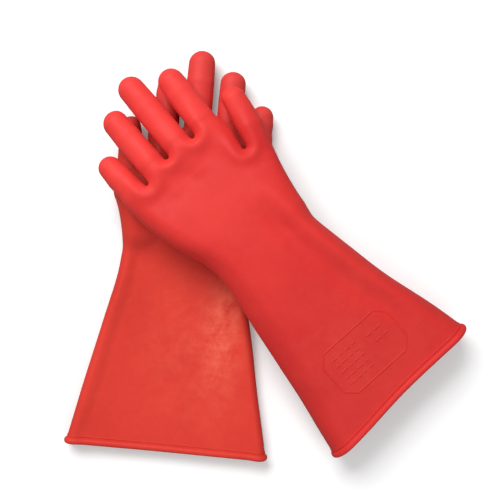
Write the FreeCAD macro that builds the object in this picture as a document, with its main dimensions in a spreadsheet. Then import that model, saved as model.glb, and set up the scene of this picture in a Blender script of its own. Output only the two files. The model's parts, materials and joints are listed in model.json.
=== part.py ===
import FreeCAD, Part
import math
import os

import Sketcher
from FreeCAD import Placement, Rotation, Vector

# A pair of 360 mm electrical insulating gloves in thick dipped rubber, laid down palm up.
# The left glove lies flat on the table. The right glove lies across it, turned the other
# way: its cuff stands on the table, its sleeve climbs on to the left palm and its finger
# stalls reach over the left thumb and forefinger.
# Each real glove is one seamless dipped shell. It is divided here at its natural creases:
# rolled cuff bead, flared gauntlet, hand shell and five digit stalls.
#
# Lengths are in millimetres. A glove is drawn in its own frame: X across the palm,
# Y from the cuff edge to the fingertips, Z up out of the palm. Right thumb at +X.

doc = FreeCAD.newDocument("insulating_gloves")
sheet = doc.addObject("Spreadsheet::Sheet", "Sizes")

SIDE = {"right": 1, "left": -1}
FINGERS = ("index", "middle", "ring", "little")
DIGITS = ("thumb",) + FINGERS

# Sizes that both gloves share.
SHARED = {
    "wall": 2.2,            # rubber thickness
    "bead": 7.0,            # rolled edge, along the sleeve and through its thickness
    "bend_gap": 0.5,        # room left at a crease where one part bends on the next
    "overrun": 1.0,         # how far a cavity is cut past the end that it opens
    "knuckle_reach": 22.0,  # length of stall root that belongs to the hand shell
    "thumb_heel_across": 34.25,     # where the thumb root leaves the heel of the hand
    "thumb_heel_along": 195.0,
    "thumb_heel_round": 13.5,
    "right_thumb_heel_level": 46.98,
    "left_thumb_heel_level": 16.48,
    "frame_long": 75.0,     # rating panel: eight-sided raised outline
    "frame_wide": 48.0,
    "frame_cut": 11.0,
    "frame_line": 1.4,
    "frame_proud": 0.9,
    "frame_margin": 3.0,    # panel edge to the station nearest the cuff
    "bar_long": 24.0,       # plain raised bars in the panel
    "bar_wide": 2.6,
    "bar_pitch": 8.0,
    "bar_shift": 15.0,
}

# Plan of the digits, the same on both hands: root centre and tip across and along the
# glove, then the outer radius at the root and just before the round tip.
DIGIT_COLUMNS = ("root_across", "root_along", "tip_across", "tip_along", "root_round", "tip_round")
DIGIT_PLAN = {
    "thumb": (51.0, 262.0, 60.0, 298.0, 12.2, 9.9),
    "index": (26.0, 294.0, 30.5, 344.0, 11.8, 10.4),
    "middle": (-2.0, 296.0, 0.0, 362.0, 12.0, 10.6),
    "ring": (-30.2, 296.0, -29.5, 348.5, 11.6, 10.6),
    "little": (-57.6, 290.0, -59.5, 323.0, 11.0, 9.3),
}

# Height of each digit's axis at its root and tip. The left stalls lie on the table; the
# right ones slope down over the glove below.
DIGIT_LEVEL = {
    "right": {"thumb": (41.4, 38.4), "index": (41.0, 33.4), "middle": (41.0, 32.4),
              "ring": (41.0, 31.9), "little": (40.4, 34.4)},
    "left": {digit: DIGIT_PLAN[digit][4:] for digit in DIGITS},
}

# Cross-sections along each glove, flat above and below with round edges: distance from
# the cuff edge, reach on the little-finger side and on the thumb side, thickness, and
# height of the underside.
STATION_COLUMNS = ("along", "little", "thumb", "thick", "rise")
SLEEVE_STATIONS = ("mouth", "cuff", "flare", "forearm", "wrist")
HAND_STATIONS = ("wrist", "heel", "palm", "knuckle")
STATIONS = {
    "right": {
        "mouth": (7.0, 77.5, 77.0, 34.0, 2.4),
        "cuff": (24.0, 74.0, 73.0, 40.0, 4.0),
        "flare": (78.0, 64.5, 60.5, 47.0, 10.5),
        "forearm": (125.0, 57.5, 49.5, 46.0, 17.0),
        "wrist": (182.0, 50.0, 43.5, 42.0, 25.5),
        "heel": (212.0, 57.0, 42.0, 39.0, 28.0),
        "palm": (250.0, 68.0, 38.0, 33.0, 28.4),
        "knuckle": (284.0, 69.0, 37.5, 25.0, 28.4),
    },
    "left": {
        "mouth": (7.0, 87.5, 87.5, 14.5, 2.4),
        "cuff": (50.0, 79.0, 79.0, 14.0, 0.0),
        "flare": (85.0, 71.5, 71.5, 14.0, 0.0),
        "forearm": (130.0, 61.0, 61.0, 15.0, 0.0),
        "wrist": (182.0, 54.0, 55.0, 18.0, 0.0),
        "heel": (212.0, 60.0, 46.0, 24.0, 0.0),
        "palm": (250.0, 68.5, 39.5, 27.0, 0.0),
        "knuckle": (284.0, 68.5, 38.5, 25.0, 0.0),
    },
}

# Where each glove lies on the table: middle of its cuff edge, and its turn from +Y.
LAY_COLUMNS = ("lay_across", "lay_along", "lay_turn")
LAY = {"right": (120.6, -124.35, 41.8), "left": (-89.1, -176.25, -5.3)}


def fill_sheet():
    """Write every driving dimension into the sheet as a number with an alias."""
    cells = dict(SHARED)
    for digit, plan in DIGIT_PLAN.items():
        cells.update({f"{digit}_{column}": size for column, size in zip(DIGIT_COLUMNS, plan)})
    for glove in SIDE:
        cells.update({f"{glove}_{column}": size for column, size in zip(LAY_COLUMNS, LAY[glove])})
        for digit, (root, tip) in DIGIT_LEVEL[glove].items():
            cells[f"{glove}_{digit}_root_level"] = root
            cells[f"{glove}_{digit}_tip_level"] = tip
        for station, sizes in STATIONS[glove].items():
            for column, size in zip(STATION_COLUMNS, sizes):
                cells[f"{glove}_{station}_{column}"] = size
    for row, (alias, size) in enumerate(cells.items(), start=1):
        sheet.set(f"A{row}", alias.replace("_", " "))
        sheet.set(f"B{row}", str(size))
        sheet.setAlias(f"B{row}", alias)
    doc.recompute()


def size(alias):
    return float(sheet.get(alias))


# Sketching ---------------------------------------------------------------------------

def new_sketch(body, name, role):
    """An empty sketch on one of the body's own origin planes."""
    sketch = body.newObject("Sketcher::SketchObject", name)
    plane = next(item for item in body.Origin.OriginFeatures if item.Role == role)
    sketch.AttachmentSupport = [(plane, "")]
    sketch.MapMode = "FlatFace"
    return sketch


def dimension(sketch, name, expression, drawn, kind, *where):
    """A named dimension, drawn at one size and then bound to the sheet."""
    sketch.addConstraint(Sketcher.Constraint(kind, *where, float(drawn)))
    sketch.renameConstraint(sketch.ConstraintCount - 1, name)
    sketch.setExpression(f"Constraints.{name}", expression)


def join(sketch, *pairs):
    for first, first_end, second, second_end in pairs:
        sketch.addConstraint(Sketcher.Constraint("Coincident", first, first_end, second, second_end))


def rounded_section(body, name, along, reach_left, reach_right, thick, rise):
    """A flat-topped section with half-round edges, across the glove at one distance."""
    sketch = new_sketch(body, name, "XZ_Plane")
    sketch.setExpression("AttachmentOffset.Base.z", f"-({along})")
    reach, edge, out = 50, 10, Vector(0, 0, 1)
    top = sketch.addGeometry(Part.LineSegment(Vector(-reach, 2 * edge, 0), Vector(reach, 2 * edge, 0)))
    right = sketch.addGeometry(
        Part.ArcOfCircle(Part.Circle(Vector(reach, edge, 0), out, edge), -math.pi / 2, math.pi / 2))
    under = sketch.addGeometry(Part.LineSegment(Vector(reach, 0, 0), Vector(-reach, 0, 0)))
    left = sketch.addGeometry(
        Part.ArcOfCircle(Part.Circle(Vector(-reach, edge, 0), out, edge), math.pi / 2, 1.5 * math.pi))
    for tangent in ((top, 2, right, 2), (right, 1, under, 1), (under, 2, left, 2), (left, 1, top, 1)):
        sketch.addConstraint(Sketcher.Constraint("Tangent", *tangent))
    sketch.addConstraint(Sketcher.Constraint("Equal", right, left))
    sketch.addConstraint(Sketcher.Constraint("Horizontal", top))
    dimension(sketch, "edge_round", f"({thick}) / 2", edge, "Radius", right)
    dimension(sketch, "reach_left", f"{reach_left} - ({thick}) / 2", reach, "DistanceX", left, 3, -1, 1)
    dimension(sketch, "reach_right", f"{reach_right} - ({thick}) / 2", reach, "DistanceX", -1, 1, right, 3)
    dimension(sketch, "level", f"{rise} + ({thick}) / 2", edge, "DistanceY", -1, 1, left, 3)
    return sketch


def station_section(body, glove, station, inset="0", shift="0"):
    """The outline of one station of a glove, drawn in by an inset for its cavity."""
    cell = f"Sizes.{glove}_{station}"
    thumb, little = f"{cell}_thumb - {inset}", f"{cell}_little - {inset}"
    reach_left, reach_right = (little, thumb) if SIDE[glove] > 0 else (thumb, little)
    name = f"{body.Name}_{station}_{'outer' if inset == '0' else 'inner'}"
    return rounded_section(body, name, f"{cell}_along + {shift}", reach_left, reach_right,
                           f"{cell}_thick - 2 * {inset}", f"{cell}_rise + {inset}")


def loft(body, kind, sections):
    """Join sections with straight walls from each to the next."""
    feature = body.newObject(f"PartDesign::{kind}Loft", f"{body.Name}_{kind.lower()}_loft")
    feature.Profile = sections[0]
    feature.Sections = sections[1:]
    feature.Ruled = True
    return feature


def shell_loft(body, glove, stations, start_shift="0"):
    """Outer loft through the stations, then the cavity, which is open at both its ends."""
    last = len(stations) - 1
    closed_end = stations[last] == "knuckle"
    outer, inner = [], []
    for number, station in enumerate(stations):
        shift = start_shift if number == 0 else "0"
        outer.append(station_section(body, glove, station, shift=shift))
        if number == 0:
            shift = f"{start_shift} - Sizes.overrun"
        if number == last:
            shift = "-Sizes.wall" if closed_end else "Sizes.overrun"
        inner.append(station_section(body, glove, station, "Sizes.wall", shift))
    loft(body, "Additive", outer)
    return inner


# Places ------------------------------------------------------------------------------

def glove_place(glove):
    spot = Vector(size(f"{glove}_lay_across"), size(f"{glove}_lay_along"), 0)
    return Placement(spot, Rotation(Vector(0, 0, 1), size(f"{glove}_lay_turn")))


def point(glove, digit, end):
    """The heel, root or tip of a digit's axis, in the glove's frame."""
    return Vector(SIDE[glove] * size(f"{digit}_{end}_across"), size(f"{digit}_{end}_along"),
                  size(f"{glove}_{digit}_{end}_level"))


def distance(glove, digit, first, last):
    """Expression for the length of a digit's axis between two of its points."""
    steps = [f"Sizes.{digit}_{last}_across - Sizes.{digit}_{first}_across",
             f"Sizes.{digit}_{last}_along - Sizes.{digit}_{first}_along",
             f"Sizes.{glove}_{digit}_{last}_level - Sizes.{glove}_{digit}_{first}_level"]
    return "sqrt(" + " + ".join(f"({step})^2" for step in steps) + ")"


def facing(start, end):
    """A place at the start whose Z axis looks at the end."""
    return Placement(start, Rotation(Vector(0, 0, 1), end - start))


def new_body(glove, name):
    body = doc.addObject("PartDesign::Body", f"{glove}_{name}")
    body.Label = f"{glove}_{name}"
    body.Placement = glove_place(glove)
    return body


# Parts of a glove --------------------------------------------------------------------

def gauntlet(glove):
    """Flared sleeve from the cuff bead to the wrist crease."""
    body = new_body(glove, "gauntlet")
    loft(body, "Subtractive", shell_loft(body, glove, SLEEVE_STATIONS))
    return body


def cuff_bead(glove):
    """Edge of the sleeve rolled over on itself: round outwards, flat against the sleeve."""
    body = new_body(glove, "cuff_bead")
    cell, side = f"Sizes.{glove}_mouth", SIDE[glove]
    reaches = [f"{cell}_little - Sizes.wall / 2", f"{cell}_thumb - Sizes.wall / 2"]
    path = rounded_section(body, f"{body.Name}_path", "Sizes.bead / 2", reaches[side < 0],
                           reaches[side > 0], f"{cell}_thick - Sizes.wall",
                           f"{cell}_rise + Sizes.wall / 2")
    roll = new_sketch(body, f"{body.Name}_roll", "YZ_Plane")
    radius, level = 3, 3
    corners = [Vector(radius, level - radius, 0), Vector(2 * radius, level - radius, 0),
               Vector(2 * radius, level + radius, 0), Vector(radius, level + radius, 0)]
    low, flat, high = [roll.addGeometry(Part.LineSegment(corners[n], corners[n + 1])) for n in range(3)]
    nose = roll.addGeometry(Part.ArcOfCircle(
        Part.Circle(Vector(radius, level, 0), Vector(0, 0, 1), radius), math.pi / 2, 1.5 * math.pi))
    join(roll, (low, 2, flat, 1), (flat, 2, high, 1))
    roll.addConstraint(Sketcher.Constraint("Tangent", high, 2, nose, 1))
    roll.addConstraint(Sketcher.Constraint("Tangent", nose, 2, low, 1))
    roll.addConstraint(Sketcher.Constraint("Vertical", flat))
    roll.addConstraint(Sketcher.Constraint("Horizontal", low))
    dimension(roll, "nose_round", "Sizes.bead / 2", radius, "Radius", nose)
    dimension(roll, "nose_middle", "Sizes.bead / 2", radius, "DistanceX", -1, 1, nose, 3)
    dimension(roll, "nose_level", f"{cell}_rise + Sizes.wall / 2", level, "DistanceY", -1, 1, nose, 3)
    dimension(roll, "flat_face", "Sizes.bead", 2 * radius, "DistanceX", -1, 1, flat, 1)
    pipe = body.newObject("PartDesign::AdditivePipe", f"{body.Name}_pipe")
    pipe.Profile = roll
    pipe.Spine = (path, [f"Edge{number}" for number in range(1, 5)])
    return body


def root_cone(body, kind, glove, digit, inset, overrun):
    """Length of stall root that belongs to the hand shell, as a cone on the digit's axis."""
    root = point(glove, digit, "root")
    if digit == "thumb":
        back, back_round = point(glove, digit, "heel"), "Sizes.thumb_heel_round"
        reach = distance(glove, digit, "heel", "root")
    else:
        ahead = (point(glove, digit, "tip") - root).normalize()
        back, back_round = root - ahead * size("knuckle_reach"), f"Sizes.{digit}_root_round"
        reach = "Sizes.knuckle_reach"
    cone = body.newObject(f"PartDesign::{kind}Cone", f"{body.Name}_{digit}_{kind.lower()}")
    cone.setExpression("Radius1", f"{back_round} - {inset}")
    cone.setExpression("Radius2", f"Sizes.{digit}_root_round - {inset}")
    cone.setExpression("Height", f"{reach} + {overrun}")
    cone.Placement = facing(back, root)
    return cone


def hand(glove, gap):
    """Palm and back of the hand, closed at the knuckles but for the five stall roots."""
    body = new_body(glove, "hand")
    inner = shell_loft(body, glove, HAND_STATIONS, start_shift=gap)
    for digit in DIGITS:
        root_cone(body, "Additive", glove, digit, "0", "0")
    loft(body, "Subtractive", inner)
    for digit in DIGITS:
        root_cone(body, "Subtractive", glove, digit, "Sizes.wall", "Sizes.overrun")
    return body


def stall(glove, digit, gap):
    """One closed finger or thumb stall: a tapering tube with a round tip, open at its root."""
    body = new_body(glove, digit if digit == "thumb" else f"{digit}_finger")
    root, tip = point(glove, digit, "root"), point(glove, digit, "tip")
    body.Placement = glove_place(glove) * facing(root, tip)
    shape = new_sketch(body, f"{body.Name}_profile", "XZ_Plane")
    wide, narrow, wall = 12, 10, 2
    middle = (tip - root).Length - narrow
    out = Vector(0, 0, 1)
    rim = shape.addGeometry(Part.LineSegment(Vector(wide - wall, 1, 0), Vector(wide, 1, 0)))
    outside = shape.addGeometry(Part.LineSegment(Vector(wide, 1, 0), Vector(narrow, middle, 0)))
    outer_tip = shape.addGeometry(
        Part.ArcOfCircle(Part.Circle(Vector(0, middle, 0), out, narrow), 0, math.pi / 2))
    crown = shape.addGeometry(
        Part.LineSegment(Vector(0, middle + narrow, 0), Vector(0, middle + narrow - wall, 0)))
    inner_tip = shape.addGeometry(
        Part.ArcOfCircle(Part.Circle(Vector(0, middle, 0), out, narrow - wall), 0, math.pi / 2))
    inside = shape.addGeometry(Part.LineSegment(Vector(narrow - wall, middle, 0), Vector(wide - wall, 1, 0)))
    join(shape, (rim, 2, outside, 1), (outside, 2, outer_tip, 1), (outer_tip, 2, crown, 1),
         (crown, 2, inner_tip, 2), (inner_tip, 1, inside, 1), (inside, 2, rim, 1),
         (outer_tip, 3, inner_tip, 3))
    for pair in ((outer_tip, 3, outer_tip, 1), (inner_tip, 3, inner_tip, 1), (rim, 1, rim, 2)):
        shape.addConstraint(Sketcher.Constraint("Horizontal", *pair))
    for on_axis in ((outer_tip, 3), (outer_tip, 2), (inner_tip, 2)):
        shape.addConstraint(Sketcher.Constraint("PointOnObject", *on_axis, -2))
    cell = f"Sizes.{digit}"
    dimension(shape, "root_outside", f"{cell}_root_round", wide, "DistanceX", -1, 1, rim, 2)
    dimension(shape, "root_inside", f"{cell}_root_round - Sizes.wall", wide - wall, "DistanceX",
              -1, 1, rim, 1)
    dimension(shape, "root_start", gap, 1, "DistanceY", -1, 1, rim, 1)
    dimension(shape, "tip_outside", f"{cell}_tip_round", narrow, "Radius", outer_tip)
    dimension(shape, "tip_inside", f"{cell}_tip_round - Sizes.wall", narrow - wall, "Radius", inner_tip)
    reach = distance(glove, digit, "root", "tip")
    dimension(shape, "tip_middle", f"{reach} - {cell}_tip_round", middle, "DistanceY",
              -1, 1, outer_tip, 3)
    turned = body.newObject("PartDesign::Revolution", f"{body.Name}_turned")
    turned.Profile = shape
    turned.ReferenceAxis = (shape, ["V_Axis"])
    turned.Angle = 360
    return body


def panel_body(name):
    """A body on the sloping top of the right sleeve, its origin at the panel's middle."""
    low = Vector(0, size("right_cuff_along"), size("right_cuff_rise") + size("right_cuff_thick"))
    high = Vector(0, size("right_flare_along"), size("right_flare_rise") + size("right_flare_thick"))
    slope = (high - low).normalize()
    middle = low + slope * (size("frame_margin") + size("frame_wide") / 2)
    body = new_body("right", name)
    tilt = Rotation(Vector(0, 1, 0), slope)
    body.Placement = glove_place("right") * Placement(middle, tilt)
    return body


def closed_outline(sketch, corners):
    """Straight lines through the corners, each corner held by its own two dimensions."""
    count = len(corners)
    turn = 2 * math.pi / count
    start = [Vector(20 * math.cos(n * turn), 20 * math.sin(n * turn), 0) for n in range(count)]
    lines = [sketch.addGeometry(Part.LineSegment(start[n], start[(n + 1) % count])) for n in range(count)]
    join(sketch, *[(lines[n], 2, lines[(n + 1) % count], 1) for n in range(count)])
    for line, drawn, (across, along) in zip(lines, start, corners):
        dimension(sketch, f"across_{line}", across, drawn.x, "DistanceX", -1, 1, line, 1)
        dimension(sketch, f"along_{line}", along, drawn.y, "DistanceY", -1, 1, line, 1)


def eight_sides(inset):
    """Corners of the panel outline, drawn in evenly by an inset."""
    long, wide = f"(Sizes.frame_long / 2 - {inset})", f"(Sizes.frame_wide / 2 - {inset})"
    cut = f"(Sizes.frame_cut - {inset} * {2 - math.sqrt(2):.4f})"
    corners = []
    for across, along, first in ((1, 1, "along"), (-1, 1, "across"), (-1, -1, "along"), (1, -1, "across")):
        on_side = (f"{across} * {long}", f"{along} * ({wide} - {cut})")
        on_end = (f"{across} * ({long} - {cut})", f"{along} * {wide}")
        corners += [on_side, on_end] if first == "along" else [on_end, on_side]
    return corners


def rating_frame():
    """Thin raised outline of the rating panel, moulded on the right sleeve."""
    body = panel_body("rating_frame")
    outline = new_sketch(body, f"{body.Name}_outline", "XY_Plane")
    closed_outline(outline, eight_sides("0"))
    ridge = body.newObject("PartDesign::Pad", f"{body.Name}_ridge")
    ridge.Profile = outline
    ridge.setExpression("Length", "Sizes.frame_proud")
    window = new_sketch(body, f"{body.Name}_window", "XY_Plane")
    closed_outline(window, eight_sides("Sizes.frame_line"))
    hollow = body.newObject("PartDesign::Pocket", f"{body.Name}_hollow")
    hollow.Profile = window
    hollow.Type = "ThroughAll"
    hollow.Reversed = True
    return body


def rating_bars():
    """Three plain raised bars where the rating would be moulded."""
    body = panel_body("rating_bars")
    bars = new_sketch(body, f"{body.Name}_outlines", "XY_Plane")
    for number in (-1, 0, 1):
        low = f"{number} * Sizes.bar_pitch - Sizes.bar_wide / 2"
        high = f"{number} * Sizes.bar_pitch + Sizes.bar_wide / 2"
        left = "-Sizes.bar_shift - Sizes.bar_long / 2"
        right = f"-Sizes.bar_shift + Sizes.bar_long / {2 if number else 4}"
        closed_outline(bars, [(left, low), (right, low), (right, high), (left, high)])
    raised = body.newObject("PartDesign::Pad", f"{body.Name}_raised")
    raised.Profile = bars
    raised.setExpression("Length", "Sizes.frame_proud")
    return body


def build_glove(glove):
    """Every part of one glove. Only the right glove's creases have room to bend."""
    gap = "Sizes.bend_gap" if glove == "right" else "0"
    parts = [cuff_bead(glove), gauntlet(glove), hand(glove, gap)]
    return parts + [stall(glove, digit, gap) for digit in DIGITS]


def check_document(parts):
    """Stop if any object failed or any part is not one closed, valid shape."""
    for item in doc.Objects:
        if {"Invalid", "Error"} & set(item.State):
            raise RuntimeError(f"{item.Name} failed: {item.State}")
    for body in parts:
        if body.Shape.isNull() or not body.Shape.isValid() or not body.Shape.Solids:
            raise RuntimeError(f"{body.Label} has no valid solid")


fill_sheet()
parts = build_glove("left") + build_glove("right") + [rating_frame(), rating_bars()]
doc.recompute()
check_document(parts)

os.makedirs("parts", exist_ok=True)
for body in parts:
    body.Shape.exportStep(f"parts/{body.Label}.step")
    print(f"{body.Label:22s} {len(body.Shape.Solids)} solid(s) {body.Shape.Volume / 1000:8.2f} cm3")

whole = FreeCAD.BoundBox()
for body in parts:
    whole.add(body.Shape.optimalBoundingBox())
print(f"box X {whole.XMin:.1f} {whole.XMax:.1f}  Y {whole.YMin:.1f} {whole.YMax:.1f}  "
      f"Z {whole.ZMin:.1f} {whole.ZMax:.1f}")
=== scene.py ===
import json

import bmesh
import bpy
import numpy as np
from mathutils import Matrix, Vector


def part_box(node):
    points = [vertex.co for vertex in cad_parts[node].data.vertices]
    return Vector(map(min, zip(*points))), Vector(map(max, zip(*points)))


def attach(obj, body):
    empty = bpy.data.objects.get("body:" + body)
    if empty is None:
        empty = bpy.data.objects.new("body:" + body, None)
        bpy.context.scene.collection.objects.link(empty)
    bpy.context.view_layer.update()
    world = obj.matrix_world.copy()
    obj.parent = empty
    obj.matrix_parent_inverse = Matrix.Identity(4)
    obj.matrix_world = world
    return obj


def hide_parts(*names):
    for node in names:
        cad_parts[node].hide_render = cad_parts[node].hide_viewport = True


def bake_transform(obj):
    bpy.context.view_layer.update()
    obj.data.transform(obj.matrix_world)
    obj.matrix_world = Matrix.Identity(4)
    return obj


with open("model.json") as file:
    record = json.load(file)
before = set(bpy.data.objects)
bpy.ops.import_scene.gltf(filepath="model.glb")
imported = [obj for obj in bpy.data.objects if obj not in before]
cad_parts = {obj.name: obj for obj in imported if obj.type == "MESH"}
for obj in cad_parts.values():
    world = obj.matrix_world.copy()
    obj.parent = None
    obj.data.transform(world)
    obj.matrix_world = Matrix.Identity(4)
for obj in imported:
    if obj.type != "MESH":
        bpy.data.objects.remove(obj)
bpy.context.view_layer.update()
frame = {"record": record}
scene = bpy.context.scene


# ---------------------------------------------------------------------------------------
# Rubber form. Each glove is dipped on a porcelain hand: a flared sleeve, a wrist, a palm
# with a hollow below the finger roots, and five stalls parted by narrow slots.
# The form is worked out as one smooth solid, palm up, thumb towards +X, in millimetres.

DIGITS = ("thumb", "index", "middle", "ring", "little")

# Middle line of each stall across and along the glove, from inside the palm to the tip,
# with the outer radius there. The last point is the middle of the round tip. On the left
# glove the thumb leaves the palm further out, and the stalls lie a little shorter.
RIGHT_STALLS = {
    "thumb": ((31.5, 188.0, 12.0), (44.0, 232.0, 12.0), (53.2, 262.0, 12.8), (59.0, 288.0, 11.3)),
    "index": ((24.5, 262.0, 12.6), (26.0, 294.0, 12.9), (28.6, 322.0, 12.6), (30.0, 335.8, 11.4)),
    "middle": ((-2.6, 262.0, 12.6), (-2.2, 296.0, 12.9), (-0.8, 332.0, 12.6), (0.0, 353.6, 11.6)),
    "ring": ((-30.0, 262.0, 12.6), (-30.4, 296.0, 12.8), (-29.6, 324.0, 12.5),
             (-29.1, 340.4, 11.5)),
    "little": ((-55.5, 258.0, 12.0), (-57.2, 284.0, 12.2), (-58.0, 304.0, 11.4),
               (-58.3, 315.4, 10.3)),
}
LEFT_STALLS = {
    "thumb": ((39.0, 194.0, 12.6), (53.2, 226.0, 13.2), (54.4, 262.0, 11.5), (56.0, 282.2, 11.2)),
    "index": ((24.5, 262.0, 12.2), (25.2, 294.0, 12.3), (25.0, 316.0, 11.9), (24.9, 328.2, 10.9)),
    "middle": ((-2.6, 262.0, 12.4), (-2.4, 296.0, 12.8), (-1.8, 328.0, 12.7), (-1.4, 344.8, 12.0)),
    "ring": ((-30.0, 262.0, 12.4), (-30.5, 296.0, 12.4), (-30.4, 316.0, 12.3),
             (-30.4, 329.0, 11.8)),
    "little": ((-55.5, 258.0, 11.8), (-57.4, 284.0, 11.4), (-58.4, 296.0, 10.7),
               (-58.8, 303.2, 10.0)),
}
STALL_PLAN = {"right": RIGHT_STALLS, "left": LEFT_STALLS}

# Slots between the stalls: where the web ends, and a point far out between the two tips.
SLOTS = (((38.4, 251.5), (50.0, 300.0)), ((12.2, 288.0), (15.5, 345.0)),
         ((-16.3, 290.0), (-15.6, 350.0)), ((-43.8, 283.0), (-44.8, 340.0)))
SLOT_HALF = 1.65
SLOT_ROUNDING = 3.6

# Each slot has a low rolled rim round its web, highest a little way off the slot.
RIM_PROUD = {"right": 2.5, "left": 1.4}
RIM_FROM_SLOT, RIM_WIDE, RIM_FADE = 8.4, 6.0, (2, 30)

# Level of each stall's middle line at the same four points. The left glove lies on the
# table; the right one rests on it and its stalls slope down, then turn up a little.
STALL_LEVEL = {
    "right": {"thumb": (46.0, 43.6, 42.2, 41.0), "index": (42.5, 41.4, 38.6, 37.6),
              "middle": (42.5, 41.4, 37.6, 36.0), "ring": (42.0, 41.4, 37.4, 36.0),
              "little": (41.2, 40.8, 38.4, 37.2)},
    "left": {digit: tuple(point[2] for point in line) for digit, line in LEFT_STALLS.items()},
}

# Sleeve and palm: distance from the cuff, reach on the little-finger side and on the
# thumb side, thickness, underside. The reach on the thumb side leaves out the thumb.
GIRTH = {
    "right": ((-6, 82.2, 81.4, 37.4, 2.1), (8, 79.2, 78.2, 38.0, 2.3), (30, 75.2, 72.8, 40.5, 4.4),
              (60, 69.2, 65.2, 43.0, 8.4), (100, 62.2, 55.4, 44.5, 13.6),
              (135, 57.6, 48.2, 44.5, 19.0), (165, 52.0, 43.0, 42.3, 23.6),
              (182, 50.6, 42.2, 39.8, 25.6), (200, 52.6, 41.2, 37.0, 27.2),
              (225, 62.0, 40.0, 34.2, 28.2), (250, 68.0, 39.0, 32.0, 28.6),
              (286, 69.2, 37.0, 24.5, 28.8)),
    "left": ((-6, 91.0, 91.0, 14.5, 2.1), (10, 87.6, 87.6, 14.5, 1.9), (50, 79.0, 79.0, 14.0, 0.8),
             (80, 72.6, 72.6, 14.0, 0.4), (110, 66.2, 66.2, 14.6, 0.4),
             (150, 57.0, 57.0, 16.5, 0.4), (175, 54.8, 54.4, 18.0, 0.4),
             (200, 57.5, 54.2, 22.0, 0.4), (225, 65.0, 52.0, 25.5, 0.4),
             (250, 68.6, 39.5, 26.5, 0.4), (286, 68.6, 38.0, 24.0, 0.4)),
}
PALM_END, PALM_END_ROUNDING = 286.0, 9.0
STALL_FILLET, THUMB_FILLET = 5.0, 13.0
STALL_BEND_FILLET = 0.8
TABLE_ROUNDING = 2.0

# Depth of the folds and hollows in the upper face.
SAG, VALLEY, SIDE_RIB, EDGE_FALL = 6.2, 4.6, 1.6, 2.8
PALM_HOLLOW, SWELLING = 3.4, 0.9


def eased(stations, column, along, spread=7.0):
    """A station column as a smooth curve of the distance from the cuff."""
    table = np.array(stations, float)
    fine = np.arange(-80.0, 420.0, 1.0)
    line = np.interp(fine, table[:, 0], table[:, column])
    reach = np.arange(-3 * spread, 3 * spread + 1)
    weight = np.exp(-0.5 * (reach / spread) ** 2)
    padded = np.pad(line, len(reach) // 2, mode="edge")
    line = np.convolve(padded, weight / weight.sum(), mode="valid")
    return np.interp(along, fine, line)


def soft_min(a, b, blend):
    """The smaller of two, rounded over a width where they are nearly equal."""
    share = np.clip(0.5 + 0.5 * (b - a) / blend, 0, 1)
    return b + (a - b) * share - blend * share * (1 - share)


def step(value, low, high):
    """A smooth rise from 0 at the low value to 1 at the high one."""
    share = np.clip((value - low) / (high - low), 0, 1)
    return share * share * (3 - 2 * share)


def hump(value, middle, width):
    """A smooth bell, 1 at its middle."""
    return np.exp(-((value - middle) / width) ** 2)


def round_rod(x, y, z, start, end):
    """Distance to a rod from one ball to another; each ball is (x, y, z, radius)."""
    a, b = np.array(start[:3], float), np.array(end[:3], float)
    span = b - a
    share = ((x - a[0]) * span[0] + (y - a[1]) * span[1] + (z - a[2]) * span[2]) / (span @ span)
    share = np.clip(share, 0, 1)
    gap = np.sqrt((x - a[0] - share * span[0]) ** 2 + (y - a[1] - share * span[1]) ** 2
                  + (z - a[2] - share * span[2]) ** 2)
    return gap - (start[3] + (end[3] - start[3]) * share)


def stall_balls(glove, digit):
    """The four balls, (x, y, z, radius), that a stall is strung on."""
    plan, level = STALL_PLAN[glove][digit], STALL_LEVEL[glove][digit]
    return [(x, y, z, radius) for (x, y, radius), z in zip(plan, level)]


def stall_form(glove, digit, x, y, z):
    """Distance to the face of one stall."""
    balls = stall_balls(glove, digit)
    form = round_rod(x, y, z, balls[0], balls[1])
    for start, end in zip(balls[1:], balls[2:]):
        form = soft_min(form, round_rod(x, y, z, start, end), STALL_BEND_FILLET)
    return form


def slot_form(x, y, web, far):
    """Distance, in plan, to the slot that starts at a web."""
    a, b = np.array(web), np.array(far)
    span = b - a
    share = np.clip(((x - a[0]) * span[0] + (y - a[1]) * span[1]) / (span @ span), 0, 1)
    return np.hypot(x - a[0] - share * span[0], y - a[1] - share * span[1]) - SLOT_HALF


def sunk(glove, x, y, low, high):
    """How far the upper face stands below a flat one, from folds, hollows and swellings."""
    # Each term is placed across the glove first, then along it from the cuff.
    if glove == "left":
        inboard, width = high - x, low + high
        dip = 0.44 * step(inboard, 6.5, 18.0) + 0.56 * step(inboard / width, 0.06, 0.42)
        dip = dip * (1 - 0.62 * step(inboard / width, 0.44, 0.88)) * step(low + x, 5.0, 17.0)
        fold = SAG * dip * (1 - step(y, 170, 225))
    else:
        valley = hump(x, high - 25.0, 10.0) * step(y, 30, 90) * (1 - step(y, 175, 215))
        rib = hump(x, high - 9.0, 6.5) * step(y, 20, 60) * (1 - step(y, 180, 220))
        edge_fall = (1 - step(x + low, 6.0, 32.0)) * step(y, 12, 50) * (1 - step(y, 180, 225))
        fold = VALLEY * valley - SIDE_RIB * rib + EDGE_FALL * edge_fall
    below_fingers = step(y, 188.0, 262.0) * (1 - step(y, 263.0, 281.0))
    hollow = PALM_HOLLOW * hump(x, -12.0, 42.0) * below_fingers
    thumb_mound = SWELLING * hump(x, 26.0, 15.0) * hump(y, 214.0, 24.0)
    heel = SWELLING * hump(x, -44.0, 13.0) * hump(y, 222.0, 28.0)
    return fold + hollow - thumb_mound - heel


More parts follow.
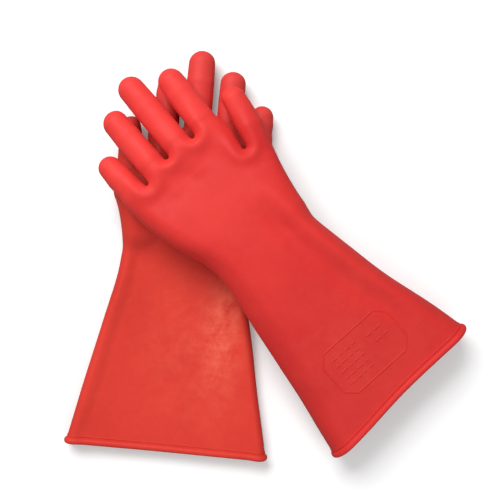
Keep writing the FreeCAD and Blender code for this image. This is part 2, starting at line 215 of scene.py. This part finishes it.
def glove_form(glove, x, y, z):
    """Signed distance, roughly, to the outer face of a glove."""
    stations = GIRTH[glove]
    low, high = eased(stations, 1, y), eased(stations, 2, y)
    thick, rise = eased(stations, 3, y), eased(stations, 4, y)
    middle, half = (high - low) / 2, (high + low) / 2
    edge = 0.5 * thick
    level = rise + thick / 2
    beside = np.maximum(np.abs(x - middle) - (half - edge), 0)
    sleeve = np.hypot(beside, z - level) - edge
    above = step(z - level, -0.1 * edge, 0.8 * edge)
    sleeve = sleeve + sunk(glove, x, y, low, high) * above
    end = y - PALM_END
    body = -soft_min(-sleeve, -end, PALM_END_ROUNDING)
    for digit in DIGITS:
        fillet = THUMB_FILLET if digit == "thumb" else STALL_FILLET
        body = soft_min(body, stall_form(glove, digit, x, y, z), fillet)
    for web, far in SLOTS:
        slot = slot_form(x, y, web, far)
        near_web = 1 - step(y, web[1] + RIM_FADE[0], web[1] + RIM_FADE[1])
        rim = RIM_PROUD[glove] * hump(slot, RIM_FROM_SLOT, RIM_WIDE) * near_web
        body = -soft_min(-(body - rim * above), slot, SLOT_ROUNDING)
    # Low waves that dipped rubber keeps, fading out before the stalls.
    wave = (0.28 * np.sin(x / 19.0 + y / 31.0 + 1.3) + 0.20 * np.sin(x / 11.0 - y / 23.0 + 4.1)
            + 0.16 * np.sin(x / 33.0 + y / 12.5 + 2.2))
    body = body - wave * (1 - step(y, 235, 290))
    return -soft_min(-body, z, TABLE_ROUNDING) if glove == "left" else body


# ---------------------------------------------------------------------------------------
# Rubber skin. The form is covered with an even net of quads, each point settled on the
# face, then cut at the cuff and at the five stall roots, where the rubber bends.

PITCH = 1.8
FORM_TOP = {"right": 76.0, "left": 34.0}
# Rounds that bring the first points onto the face, then rounds that space them evenly.
FIRST_SETTLING, EVENING_ROUNDS = 4, 5


def slope_of(glove, points, reach=0.25):
    """Outward direction and steepness of the form at each point."""
    steps = []
    for axis in range(3):
        ahead, behind = points.copy(), points.copy()
        ahead[:, axis] += reach
        behind[:, axis] -= reach
        steps.append((glove_form(glove, *ahead.T) - glove_form(glove, *behind.T)) / (2 * reach))
    slope = np.stack(steps, 1)
    return slope, np.linalg.norm(slope, axis=1, keepdims=True) + 1e-9


def settle(glove, points, rounds):
    """The points, moved onto the face of the form."""
    for _ in range(rounds):
        slope, steep = slope_of(glove, points)
        move = glove_form(glove, *points.T)[:, None] * slope / steep ** 2
        points = points - np.clip(move, -PITCH, PITCH)
    return points


def cover(glove):
    """Points and quads of an even net over the whole form."""
    spans = ((-96.0, 96.0), (-12.0, 368.0), (-5.0, FORM_TOP[glove]))
    lines = [np.arange(low, high, PITCH) for low, high in spans]
    grid = np.stack(np.meshgrid(*lines, indexing="ij"), -1)
    within = glove_form(glove, grid[..., 0], grid[..., 1], grid[..., 2]) < 0
    rows, files, levels = (size - 1 for size in within.shape)
    corners = [within[i:rows + i, j:files + j, k:levels + k]
               for i in (0, 1) for j in (0, 1) for k in (0, 1)]
    crossed = np.any(corners, axis=0) & ~np.all(corners, axis=0)
    number = np.full(crossed.shape, -1)
    number[crossed] = np.arange(crossed.sum())
    points = grid[:-1, :-1, :-1][crossed] + PITCH / 2
    quads = []
    for axis in range(3):
        one, two = (axis + 1) % 3, (axis + 2) % 3
        turned = np.moveaxis(within, (axis, one, two), (0, 1, 2))
        cells = np.moveaxis(number, (axis, one, two), (0, 1, 2))
        change = turned[:-1, 1:-1, 1:-1] != turned[1:, 1:-1, 1:-1]
        leaving = turned[:-1, 1:-1, 1:-1][change]
        i, j, k = np.nonzero(change)
        ring = np.stack([cells[i, j, k], cells[i, j + 1, k],
                         cells[i, j + 1, k + 1], cells[i, j, k + 1]], 1)
        ring[~leaving] = ring[~leaving][:, ::-1]
        quads.append(ring)
    quads = np.concatenate(quads)
    points = settle(glove, points, FIRST_SETTLING)
    ends = np.concatenate([quads[:, [n, (n + 1) % 4]] for n in range(4)])
    for _ in range(EVENING_ROUNDS):
        total, count = np.zeros_like(points), np.zeros(len(points))
        for here, there in ((0, 1), (1, 0)):
            np.add.at(total, ends[:, here], points[ends[:, there]])
            np.add.at(count, ends[:, here], 1)
        points = settle(glove, 0.5 * points + 0.5 * total / np.maximum(count, 1)[:, None], 2)
    return points, quads


def cuff_wave(x, y):
    """The right cuff edge isn't square: it runs forward on the thumb side."""
    return (3.4 + 4.4 * np.tanh((x + 30.0) / 38.0)) * (1 - step(y, 10.0, 90.0))


MM = 0.001
SIDE = {"right": 1, "left": -1}
entries = {mount["name"]: mount for mount in frame["record"]["mounts"]}


def glove_matrix(glove):
    """Glove form to the frame: from the cuff opening, along the line of the sleeve."""
    entry = entries[f"{glove}_hand_entry"]
    out = Vector(entry["axis"])
    along = Vector((-out.x, -out.y, 0)).normalized()
    across = Vector((along.y, -along.x, 0)) * SIDE[glove]
    cuff = Vector(entry["pos_m"])
    turned = Matrix((across, along, Vector((0, 0, 1)))).transposed().to_4x4()
    return Matrix.Translation((cuff.x, cuff.y, 0)) @ turned @ Matrix.Diagonal((MM, MM, MM, 1))


# Distance from the cuff of each stall's cut, and how far round its middle the cut reaches.
SEAM_ALONG = {"thumb": 257.5, "index": 290.5, "middle": 292.0, "ring": 292.0, "little": 287.0}
SEAM_REACH = 22.0


def seam_of(glove, digit):
    """A point on the stall's middle line just past its webs, and the stall's direction."""
    balls = stall_balls(glove, digit)
    second, third = Vector(balls[1][:3]), Vector(balls[2][:3])
    share = (SEAM_ALONG[digit] - second.y) / (third.y - second.y)
    return second + (third - second) * share, (third - second).normalized()


def nearest_stall(glove, spot):
    """The digit whose stall is nearest to a spot."""
    return min(DIGITS, key=lambda digit: stall_form(glove, digit, *spot))


# A point this near to a cutting plane counts as lying on it.
SNAP = 0.05


def cut_face(glove):
    """The outer face as a bmesh in form millimetres, cut at the cuff and at each stall root."""
    points, quads = cover(glove)
    net = bmesh.new()
    spots = [net.verts.new(point) for point in points]
    for quad in quads:
        net.faces.new([spots[n] for n in quad])
    everything = net.verts[:] + net.edges[:] + net.faces[:]
    bmesh.ops.bisect_plane(net, geom=everything, dist=SNAP, plane_co=(0, 0, 0),
                           plane_no=(0, -1, 0), clear_outer=True)
    seams = {}
    for digit in DIGITS:
        start, direction = seam_of(glove, digit)
        near = [face for face in net.faces
                if (face.calc_center_median() - start).length < SEAM_REACH
                and nearest_stall(glove, face.calc_center_median()) == digit]
        parts = set(near) | {edge for face in near for edge in face.edges}
        parts |= {vert for face in near for vert in face.verts}
        cut = bmesh.ops.bisect_plane(net, geom=list(parts), dist=SNAP, plane_co=start,
                                     plane_no=direction)
        seams[digit] = {item for item in cut["geom_cut"] if isinstance(item, bmesh.types.BMEdge)}
    bmesh.ops.triangulate(net, faces=[face for face in net.faces if len(face.verts) > 4])
    return net, seams


def patch_from(net, seed, fences):
    """Every face that can be reached from a seed face without crossing a seam."""
    found, waiting = {seed}, [seed]
    while waiting:
        face = waiting.pop()
        for edge in face.edges:
            if edge in fences:
                continue
            for beside in edge.link_faces:
                if beside not in found:
                    found.add(beside)
                    waiting.append(beside)
    return found


WALL = 2.2
# Distance from the cuff over which a painted highlight comes in: the stalls are painted a paler
# red, as if more light fell on them than on the palm.
PAINTED_HIGHLIGHT_FROM_TO = (255.0, 305.0)


def walled_piece(name, glove, faces):
    """A closed shell: the outer faces, the same faces one wall further in, and their rims."""
    spots = sorted({vert for face in faces for vert in face.verts}, key=lambda vert: vert.index)
    number = {vert: place for place, vert in enumerate(spots)}
    outer = np.array([vert.co for vert in spots])
    slope, steep = slope_of(glove, outer)
    normal = slope / steep
    count = len(spots)
    loops = [[number[vert] for vert in face.verts] for face in faces]
    lining = [[n + count for n in reversed(loop)] for loop in loops]
    inside = set(faces)
    rims = []
    for face in faces:
        for corner in face.loops:
            if sum(beside in inside for beside in corner.edge.link_faces) == 1:
                a, b = number[corner.vert], number[corner.link_loop_next.vert]
                rims.append([b, a, a + count, b + count])
    points = np.concatenate([outer, outer - WALL * normal])
    normals = np.concatenate([normal, -normal])
    flat_x, flat_y = points[:, 0].copy(), points[:, 1].copy()
    if glove == "right":
        points[:, 1] += cuff_wave(flat_x, flat_y)
    place = np.array(glove_matrix(glove))
    points = points @ place[:3, :3].T + place[:3, 3]
    normals = normals @ place[:3, :3].T / MM
    polygons = loops + lining + rims
    if SIDE[glove] < 0:
        polygons = [polygon[::-1] for polygon in polygons]
    mesh = bpy.data.meshes.new(name)
    mesh.from_pydata(points.tolist(), [], polygons)
    mesh.polygons.foreach_set("use_smooth", [True] * len(mesh.polygons))
    mesh.normals_split_custom_set_from_vertices(normals.tolist())
    # The first attribute is powder and bloom; the second is a painted highlight that makes the
    # stalls paler than the palm.
    for label, amount in (("chalk", chalk_on(glove, flat_x, flat_y)),
                          ("painted_stall_highlight", step(flat_y, *PAINTED_HIGHLIGHT_FROM_TO))):
        layer = mesh.attributes.new(label, "FLOAT", "POINT")
        layer.data.foreach_set("value", amount.astype(np.float32))
    piece = bpy.data.objects.new(name, mesh)
    scene.collection.objects.link(piece)
    return piece


def chalk_on(glove, x, y):
    """Where powder and bloom have settled: most on the little-finger side of the left sleeve."""
    if glove == "right":
        return 0.12 * hump(x, -10, 34) * hump(y, 60, 50)
    heavy = 0.80 * hump(x, -42, 15) * hump(y, 112, 52)
    return heavy + 0.22 * hump(x, -12, 36) * hump(y, 95, 60)


def node(tree, kind, place=(0, 0), **settings):
    """A node of a material or a modifier, with its plain settings."""
    made = tree.nodes.new(kind)
    made.location = place
    for key, setting in settings.items():
        setattr(made, key, setting)
    return made


def dipped_rubber(name, red, deep_red, painted_highlight_red, chalk_red):
    """Satin natural rubber: uneven dip colour, a painted highlight that makes the stalls paler than
    the palm, with powder bloom.
    """
    material = bpy.data.materials.new(name)
    material.use_nodes = True
    tree = material.node_tree
    tree.nodes.clear()
    link = tree.links.new
    out = node(tree, "ShaderNodeOutputMaterial", (900, 0))
    shader = node(tree, "ShaderNodeBsdfPrincipled", (600, 0))
    link(shader.outputs["BSDF"], out.inputs["Surface"])
    place = node(tree, "ShaderNodeTexCoord", (-1000, 0))
    spot = place.outputs["Object"]

    cloud = node(tree, "ShaderNodeTexNoise", (-700, 300))
    cloud.inputs["Scale"].default_value = 17.0
    cloud.inputs["Detail"].default_value = 4.0
    cloud.inputs["Roughness"].default_value = 0.55
    link(spot, cloud.inputs["Vector"])
    cloud_share = node(tree, "ShaderNodeMapRange", (-500, 300))
    cloud_share.inputs["From Min"].default_value = 0.35
    cloud_share.inputs["From Max"].default_value = 0.68
    link(cloud.outputs["Fac"], cloud_share.inputs["Value"])
    dip = node(tree, "ShaderNodeMix", (-250, 300), data_type="RGBA")
    dip.inputs["A"].default_value = (*red, 1)
    dip.inputs["B"].default_value = (*deep_red, 1)
    link(cloud_share.outputs["Result"], dip.inputs["Factor"])

    # Painted highlight: towards the stalls the colour is mixed to a paler red, standing in for the
    # extra light that falls on them.
    painted_stall_highlight = node(tree, "ShaderNodeAttribute", (-500, 520), attribute_name="painted_stall_highlight")
    highlight_mix = node(tree, "ShaderNodeMix", (0, 300), data_type="RGBA")
    highlight_mix.inputs["B"].default_value = (*painted_highlight_red, 1)
    link(dip.outputs["Result"], highlight_mix.inputs["A"])
    link(painted_stall_highlight.outputs["Fac"], highlight_mix.inputs["Factor"])

    powder = node(tree, "ShaderNodeAttribute", (-1000, -300), attribute_name="chalk")
    speck = node(tree, "ShaderNodeTexNoise", (-700, 0))
    speck.inputs["Scale"].default_value = 160.0
    speck.inputs["Detail"].default_value = 5.0
    speck.inputs["Roughness"].default_value = 0.7
    link(spot, speck.inputs["Vector"])
    speck_share = node(tree, "ShaderNodeMapRange", (-500, 0))
    speck_share.inputs["From Min"].default_value = 0.46
    speck_share.inputs["From Max"].default_value = 0.66
    link(speck.outputs["Fac"], speck_share.inputs["Value"])
    patch = node(tree, "ShaderNodeTexNoise", (-700, -200))
    patch.inputs["Scale"].default_value = 85.0
    patch.inputs["Detail"].default_value = 3.0
    link(spot, patch.inputs["Vector"])
    patch_share = node(tree, "ShaderNodeMapRange", (-500, -200))
    patch_share.inputs["From Min"].default_value = 0.30
    patch_share.inputs["From Max"].default_value = 0.66
    link(patch.outputs["Fac"], patch_share.inputs["Value"])
    mottle = node(tree, "ShaderNodeMath", (-300, -100), operation="MULTIPLY_ADD")
    mottle.inputs[1].default_value = 0.35
    link(speck_share.outputs["Result"], mottle.inputs[0])
    link(patch_share.outputs["Result"], mottle.inputs[2])
    dusty = node(tree, "ShaderNodeMath", (-120, -200), operation="MULTIPLY", use_clamp=True)
    link(mottle.outputs["Value"], dusty.inputs[0])
    link(powder.outputs["Fac"], dusty.inputs[1])
    all_over = node(tree, "ShaderNodeMath", (40, -150), operation="MULTIPLY_ADD")
    all_over.inputs[1].default_value = 0.05
    link(speck_share.outputs["Result"], all_over.inputs[0])
    link(dusty.outputs["Value"], all_over.inputs[2])
    chalky = node(tree, "ShaderNodeMix", (200, 200), data_type="RGBA")
    chalky.inputs["B"].default_value = (*chalk_red, 1)
    link(highlight_mix.outputs["Result"], chalky.inputs["A"])
    link(all_over.outputs["Value"], chalky.inputs["Factor"])
    link(chalky.outputs["Result"], shader.inputs["Base Color"])

    sheen_map = node(tree, "ShaderNodeMapRange", (200, -250))
    sheen_map.inputs["To Min"].default_value = 0.50
    sheen_map.inputs["To Max"].default_value = 0.66
    link(patch.outputs["Fac"], sheen_map.inputs["Value"])
    link(sheen_map.outputs["Result"], shader.inputs["Roughness"])

    grain = node(tree, "ShaderNodeTexNoise", (-300, -450))
    grain.inputs["Scale"].default_value = 820.0
    grain.inputs["Detail"].default_value = 3.0
    link(spot, grain.inputs["Vector"])
    dimple = node(tree, "ShaderNodeTexNoise", (-300, -650))
    dimple.inputs["Scale"].default_value = 95.0
    dimple.inputs["Detail"].default_value = 2.0
    link(spot, dimple.inputs["Vector"])
    soft = node(tree, "ShaderNodeBump", (100, -650))
    soft.inputs["Strength"].default_value = 0.35
    soft.inputs["Distance"].default_value = 0.0006
    link(dimple.outputs["Fac"], soft.inputs["Height"])
    fine = node(tree, "ShaderNodeBump", (300, -500))
    fine.inputs["Strength"].default_value = 0.30
    fine.inputs["Distance"].default_value = 0.00012
    link(grain.outputs["Fac"], fine.inputs["Height"])
    link(soft.outputs["Normal"], fine.inputs["Normal"])
    link(fine.outputs["Normal"], shader.inputs["Normal"])

    shader.inputs["Subsurface Weight"].default_value = 0.03
    shader.inputs["Subsurface Radius"].default_value = (1.0, 0.25, 0.15)
    shader.inputs["Subsurface Scale"].default_value = 0.003
    shader.inputs["Specular IOR Level"].default_value = 0.22
    shader.inputs["Sheen Weight"].default_value = 0.03
    shader.inputs["Sheen Roughness"].default_value = 0.45
    return material


# Each rubber: red, deep red, the paler red of the painted highlight on the stalls, and the powder
# colour.
rubber = {"right": dipped_rubber("right_dipped_rubber", (0.71, 0.033, 0.027), (0.64, 0.024, 0.022),
                                 (0.80, 0.044, 0.038), (0.78, 0.11, 0.08)),
          "left": dipped_rubber("left_dipped_rubber", (0.70, 0.042, 0.026), (0.63, 0.034, 0.022),
                                (0.70, 0.046, 0.040), (0.84, 0.135, 0.078))}


def rim_walk(net):
    """The points round the cuff opening, one after another."""
    rim = {vert for edge in net.edges if edge.is_boundary for vert in edge.verts}
    here = min(rim, key=lambda vert: vert.index)
    walk = []
    while here is not None:
        walk.append(here.co.copy())
        rim.discard(here)
        beside = [edge.other_vert(here) for edge in here.link_edges if edge.is_boundary]
        here = next((vert for vert in beside if vert in rim), None)
    return walk


rim_rings = {}

for glove in ("left", "right"):
    net, seams = cut_face(glove)
    net.verts.index_update()
    net.faces.index_update()
    place = glove_matrix(glove)
    fences = set().union(*seams.values())
    remaining = set(net.faces)
    for digit in DIGITS:
        tip = Vector(stall_balls(glove, digit)[-1][:3])
        seed = min(net.faces, key=lambda face: (face.calc_center_median() - tip).length)
        faces = patch_from(net, seed, fences)
        remaining -= faces
        stall = walled_piece(f"{glove}_{digit}_stall", glove,
                             sorted(faces, key=lambda face: face.index))
        stall.data.materials.append(rubber[glove])
        cad_name = f"{glove}_{digit}" if digit == "thumb" else f"{glove}_{digit}_finger"
        if glove == "right":
            start, direction = seam_of(glove, digit)
            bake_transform(stall)
        else:
            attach(stall, "left_glove")
        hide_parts(cad_name)
    shell = walled_piece(f"{glove}_sleeve_and_palm", glove,
                         sorted(remaining, key=lambda face: face.index))
    shell.data.materials.append(rubber[glove])
    if glove == "right":
        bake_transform(shell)
    else:
        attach(shell, "left_glove")
    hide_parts(f"{glove}_gauntlet", f"{glove}_hand")
    rim_rings[glove] = rim_walk(net)
    net.free()


# ---------------------------------------------------------------------------------------
# Cuff bead. The edge of the dipped sleeve is rolled over on itself while it is wet, which
# leaves a round roll along the opening, with a faint lap line just inboard of it.

# Radius, distance inboard of the cut edge, depth of the middle, sides of the section.
ROLL_ROUND, ROLL_ALONG, ROLL_DEPTH, ROLL_SIDES = 3.0, 0.8, 0.5 * WALL, 24
LAP_ROUND, LAP_ALONG, LAP_DEPTH, LAP_SIDES = 0.8, 5.4, 0.3, 8
RING_STEPS = 260


def modifier_input(tree, name, kind):
    """A named input of a modifier tree."""
    return tree.interface.new_socket(name, in_out="INPUT", socket_type=kind)


def roll_tree():
    """A round roll swept along a closed ring of edges."""
    tree = bpy.data.node_groups.new("cuff_roll", "GeometryNodeTree")
    modifier_input(tree, "Ring", "NodeSocketGeometry")
    modifier_input(tree, "Roll radius", "NodeSocketFloat")
    modifier_input(tree, "Steps round", "NodeSocketInt")
    modifier_input(tree, "Steps along", "NodeSocketInt")
    modifier_input(tree, "Rubber", "NodeSocketMaterial")
    tree.interface.new_socket("Roll", in_out="OUTPUT", socket_type="NodeSocketGeometry")
    link = tree.links.new
    given = node(tree, "NodeGroupInput", (-900, 0))
    path = node(tree, "GeometryNodeMeshToCurve", (-700, 0))
    even = node(tree, "GeometryNodeResampleCurve", (-500, 0), mode="COUNT")
    circle = node(tree, "GeometryNodeCurvePrimitiveCircle", (-500, -250))
    sweep = node(tree, "GeometryNodeCurveToMesh", (-250, 0))
    smooth = node(tree, "GeometryNodeSetShadeSmooth", (-50, 0))
    real = node(tree, "GeometryNodeRealizeInstances", (150, 0))
    paint = node(tree, "GeometryNodeSetMaterial", (350, 0))
    result = node(tree, "NodeGroupOutput", (550, 0))
    link(given.outputs["Ring"], path.inputs["Mesh"])
    link(path.outputs["Curve"], even.inputs["Curve"])
    link(given.outputs["Steps along"], even.inputs["Count"])
    link(given.outputs["Steps round"], circle.inputs["Resolution"])
    link(given.outputs["Roll radius"], circle.inputs["Radius"])
    link(even.outputs["Curve"], sweep.inputs["Curve"])
    link(circle.outputs["Curve"], sweep.inputs["Profile Curve"])
    link(sweep.outputs["Mesh"], smooth.inputs["Geometry"])
    link(smooth.outputs["Geometry"], real.inputs["Geometry"])
    link(real.outputs["Geometry"], paint.inputs["Geometry"])
    link(given.outputs["Rubber"], paint.inputs["Material"])
    link(paint.outputs["Geometry"], result.inputs["Roll"])
    return tree


def grown(name, points, edges, tree, settings):
    """The plain mesh that a tree makes from a set of points and edges."""
    seed = bpy.data.meshes.new(f"{name}_line")
    seed.from_pydata([tuple(point) for point in points], edges, [])
    holder = bpy.data.objects.new(f"{name}_holder", seed)
    scene.collection.objects.link(holder)
    modifier = holder.modifiers.new("grow", "NODES")
    modifier.node_group = tree
    sockets = {item.name: item.identifier for item in tree.interface.items_tree
               if item.item_type == "SOCKET" and item.in_out == "INPUT"}
    for socket, setting in settings.items():
        modifier[sockets[socket]] = setting
    graph = bpy.context.evaluated_depsgraph_get()
    mesh = bpy.data.meshes.new_from_object(holder.evaluated_get(graph))
    bpy.data.objects.remove(holder)
    mesh.name = name
    piece = bpy.data.objects.new(name, mesh)
    scene.collection.objects.link(piece)
    return piece


roll = roll_tree()
for glove in ("left", "right"):
    ring = rim_rings[glove]
    loop = [(n, (n + 1) % len(ring)) for n in range(len(ring))]
    for name, along, radius, depth, sides in (
            ("cuff_roll", ROLL_ALONG, ROLL_ROUND, ROLL_DEPTH, ROLL_SIDES),
            ("cuff_lap", LAP_ALONG, LAP_ROUND, LAP_DEPTH, LAP_SIDES)):
        line = settle(glove, np.array(ring) + (0, along, 0), 3)
        slope, steep = slope_of(glove, line)
        line = line - depth * slope / steep
        line[:, 1] = along
        if glove == "right":
            line[:, 1] += cuff_wave(line[:, 0], line[:, 1])
        place = glove_matrix(glove)
        bead = grown(f"{glove}_{name}", [place @ Vector(spot) for spot in line], loop, roll,
                     {"Roll radius": radius * MM, "Steps round": sides,
                      "Steps along": RING_STEPS, "Rubber": rubber[glove]})
        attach(bead, "left_glove" if glove == "left" else "right_gauntlet")
        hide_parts(f"{glove}_cuff_bead")


# ---------------------------------------------------------------------------------------
# Rating panel. The mould leaves a thin raised eight-sided outline on the right sleeve. In it
# are five rows of small plain raised dashes, with a few more beside them, of the same rubber.

PANEL_LONG, PANEL_WIDE, PANEL_CUT = 72.0, 45.5, 9.0
PANEL_SHIFT = (-0.8, 4.5)
OUTLINE_WIDE, OUTLINE_PROUD = 1.5, 0.45
DASH_WIDE, DASH_PROUD = 1.6, 0.35
RIDGE_STEP, RIDGE_SIDES = 1.0, 10

# Lengths of the dashes in the five rows, where the rows start, then the few beside them:
# across, along, length.
DASH_ROWS = ((6.0, 4.0, 5.0, 3.0), (4.0, 6.0, 3.0, 5.0), (7.0, 3.0, 5.0, 4.0),
             (3.0, 5.0, 6.0, 3.0), (6.0, 4.0, 3.0, 5.0))
ROW_START, FIRST_ROW, ROW_STEP, DASH_GAP = -27.0, 13.0, 6.4, 2.6
LONE_DASHES = ((10.0, 9.5, 5.0), (18.0, 9.5, 7.0), (13.0, 1.0, 6.0), (22.0, 1.0, 4.0))


def raised_line_tree():
    """Low rounded ridges that follow the rubber under a set of lines."""
    tree = bpy.data.node_groups.new("raised_line", "GeometryNodeTree")
    modifier_input(tree, "Lines", "NodeSocketGeometry")
    modifier_input(tree, "Skin", "NodeSocketObject")
    modifier_input(tree, "Width", "NodeSocketFloat")
    modifier_input(tree, "Proud", "NodeSocketFloat")
    modifier_input(tree, "Step", "NodeSocketFloat")
    modifier_input(tree, "Rubber", "NodeSocketMaterial")
    tree.interface.new_socket("Ridges", in_out="OUTPUT", socket_type="NodeSocketGeometry")
    link = tree.links.new
    given = node(tree, "NodeGroupInput", (-1300, 0))
    path = node(tree, "GeometryNodeMeshToCurve", (-1100, 0))
    even = node(tree, "GeometryNodeResampleCurve", (-900, 0), mode="LENGTH")
    skin = node(tree, "GeometryNodeObjectInfo", (-1100, -300), transform_space="RELATIVE")
    spot = node(tree, "GeometryNodeInputPosition", (-1100, -500))
    drop = node(tree, "GeometryNodeRaycast", (-850, -300))
    drop.inputs["Ray Direction"].default_value = (0, 0, -1)
    drop.inputs["Ray Length"].default_value = 1.0
    lay = node(tree, "GeometryNodeSetPosition", (-600, 0))
    circle = node(tree, "GeometryNodeCurvePrimitiveCircle", (-900, -700))
    circle.inputs["Resolution"].default_value = RIDGE_SIDES
    circle.inputs["Radius"].default_value = 1.0
    size = node(tree, "ShaderNodeCombineXYZ", (-900, -900))
    half = node(tree, "ShaderNodeMath", (-1100, -900), operation="MULTIPLY")
    half.inputs[1].default_value = 0.5
    flatten = node(tree, "GeometryNodeTransform", (-650, -700))
    upright = node(tree, "GeometryNodeSetCurveNormal", (-450, 0), mode="Z_UP")
    sweep = node(tree, "GeometryNodeCurveToMesh", (-250, 0))
    sweep.inputs["Fill Caps"].default_value = True
    smooth = node(tree, "GeometryNodeSetShadeSmooth", (-50, 0))
    real = node(tree, "GeometryNodeRealizeInstances", (150, 0))
    paint = node(tree, "GeometryNodeSetMaterial", (350, 0))
    result = node(tree, "NodeGroupOutput", (550, 0))
    link(given.outputs["Lines"], path.inputs["Mesh"])
    link(path.outputs["Curve"], even.inputs["Curve"])
    link(given.outputs["Step"], even.inputs["Length"])
    link(given.outputs["Skin"], skin.inputs["Object"])
    link(skin.outputs["Geometry"], drop.inputs["Target Geometry"])
    link(spot.outputs["Position"], drop.inputs["Source Position"])
    link(even.outputs["Curve"], lay.inputs["Geometry"])
    link(drop.outputs["Hit Position"], lay.inputs["Position"])
    link(given.outputs["Width"], half.inputs[0])
    link(half.outputs["Value"], size.inputs["X"])
    link(given.outputs["Proud"], size.inputs["Y"])
    size.inputs["Z"].default_value = 1.0
    link(circle.outputs["Curve"], flatten.inputs["Geometry"])
    link(size.outputs["Vector"], flatten.inputs["Scale"])
    link(lay.outputs["Geometry"], upright.inputs["Curve"])
    link(upright.outputs["Curve"], sweep.inputs["Curve"])
    link(flatten.outputs["Geometry"], sweep.inputs["Profile Curve"])
    link(sweep.outputs["Mesh"], smooth.inputs["Geometry"])
    link(smooth.outputs["Geometry"], real.inputs["Geometry"])
    link(real.outputs["Geometry"], paint.inputs["Geometry"])
    link(given.outputs["Rubber"], paint.inputs["Material"])
    link(paint.outputs["Geometry"], result.inputs["Ridges"])
    return tree


raised_line = raised_line_tree()
sleeve = bpy.data.objects["right_sleeve_and_palm"]
place = glove_matrix("right")
low, high = (Vector(corner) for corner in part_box("right_rating_frame"))
panel = place.inverted() @ ((low + high) / 2) + Vector((*PANEL_SHIFT, 0))
PANEL_ABOVE = 100.0

long, wide, cut = PANEL_LONG / 2, PANEL_WIDE / 2, PANEL_CUT
corners = [(long, cut - wide), (long, wide - cut), (long - cut, wide), (cut - long, wide),
           (-long, wide - cut), (-long, cut - wide), (cut - long, -wide), (long - cut, -wide)]
outline = [place @ Vector((panel.x + x, panel.y + y, PANEL_ABOVE)) for x, y in corners]
edges = [(n, (n + 1) % len(outline)) for n in range(len(outline))]
settings = {"Skin": sleeve, "Width": OUTLINE_WIDE * MM, "Proud": OUTLINE_PROUD * MM,
            "Step": RIDGE_STEP * MM, "Rubber": rubber["right"]}
frame_ridge = grown("right_panel_outline", outline, edges, raised_line, settings)
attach(frame_ridge, "right_gauntlet")
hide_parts("right_rating_frame")

dashes = []
for row, lengths in enumerate(DASH_ROWS):
    start, y = ROW_START, FIRST_ROW - ROW_STEP * row
    for length in lengths:
        dashes.append(((start, y), (start + length, y)))
        start += length + DASH_GAP
for x, y, length in LONE_DASHES:
    dashes.append(((x, y), (x + length, y)))
spots, edges = [], []
for number, dash in enumerate(dashes):
    spots += [place @ Vector((panel.x + x, panel.y + y, PANEL_ABOVE)) for x, y in dash]
    edges.append((2 * number, 2 * number + 1))
settings.update({"Width": DASH_WIDE * MM, "Proud": DASH_PROUD * MM})
dash_ridges = grown("right_panel_dashes", spots, edges, raised_line, settings)
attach(dash_ridges, "right_gauntlet")
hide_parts("right_rating_bars")


# ---------------------------------------------------------------------------------------
# Setting: a plain table top, soft light from the fingertip side, and a camera that looks
# straight down. The table shows white to the camera, but the light that it throws back on
# the gloves is that of a mid-grey one.

VIEW_WIDTH = 0.4535
CAMERA_HEIGHT = 0.70
CAMERA_SPOT = (-0.0134, 0.0018)
TABLE_REACH, TABLE_LEVEL = 3.0, -0.0002
TABLE_THROWN_BACK, TABLE_SEEN, TABLE_GLOW = 0.30, 0.90, 0.17
SKY_STRENGTH = 0.37

table_mesh = bpy.data.meshes.new("table_top")
table_mesh.from_pydata([(side * TABLE_REACH, end * TABLE_REACH, TABLE_LEVEL)
                        for side, end in ((-1, -1), (1, -1), (1, 1), (-1, 1))],
                       [], [(0, 1, 2, 3)])
table = bpy.data.objects.new("table_top", table_mesh)
scene.collection.objects.link(table)
pale = bpy.data.materials.new("pale_table")
pale.use_nodes = True
pale_shader = pale.node_tree.nodes["Principled BSDF"]
seen = node(pale.node_tree, "ShaderNodeLightPath", (-700, 0))
paper = node(pale.node_tree, "ShaderNodeMix", (-400, 200), data_type="RGBA")
paper.inputs["A"].default_value = (*3 * (TABLE_THROWN_BACK,), 1)
paper.inputs["B"].default_value = (*3 * (TABLE_SEEN,), 1)
glow = node(pale.node_tree, "ShaderNodeMath", (-400, -200), operation="MULTIPLY")
glow.inputs[1].default_value = TABLE_GLOW
pale.node_tree.links.new(seen.outputs["Is Camera Ray"], paper.inputs["Factor"])
pale.node_tree.links.new(seen.outputs["Is Camera Ray"], glow.inputs[0])
pale.node_tree.links.new(paper.outputs["Result"], pale_shader.inputs["Base Color"])
pale.node_tree.links.new(glow.outputs["Value"], pale_shader.inputs["Emission Strength"])
pale_shader.inputs["Emission Color"].default_value = (1, 1, 1, 1)
pale_shader.inputs["Roughness"].default_value = 0.8
pale_shader.inputs["Specular IOR Level"].default_value = 0.1
table_mesh.materials.append(pale)

world = bpy.data.worlds.new("studio")
scene.world = world
world.use_nodes = True
world.node_tree.nodes["Background"].inputs["Color"].default_value = (1, 1, 1, 1)
world.node_tree.nodes["Background"].inputs["Strength"].default_value = SKY_STRENGTH


def soft_box(name, spot, width, height, power):
    """A soft rectangular lamp aimed at the middle of the table."""
    light = bpy.data.lights.new(name, "AREA")
    light.shape = "RECTANGLE"
    light.size, light.size_y, light.energy = width, height, power
    lamp = bpy.data.objects.new(name, light)
    lamp.location = spot
    lamp.rotation_euler = (Vector((0, 0, 0)) - Vector(spot)).to_track_quat("-Z", "Y").to_euler()
    scene.collection.objects.link(lamp)


soft_box("fingertip_side", (-0.62, 1.22, 1.45), width=1.4, height=0.9, power=38.0)
soft_box("cuff_side", (0.5, -1.0, 1.0), width=1.2, height=0.8, power=4.5)

lens = bpy.data.cameras.new("camera")
lens.sensor_width = 36.0
lens.lens = lens.sensor_width * CAMERA_HEIGHT / VIEW_WIDTH
camera = bpy.data.objects.new("camera", lens)
camera.location = (*CAMERA_SPOT, CAMERA_HEIGHT)
scene.collection.objects.link(camera)
scene.camera = camera
scene.view_settings.view_transform = "Standard"
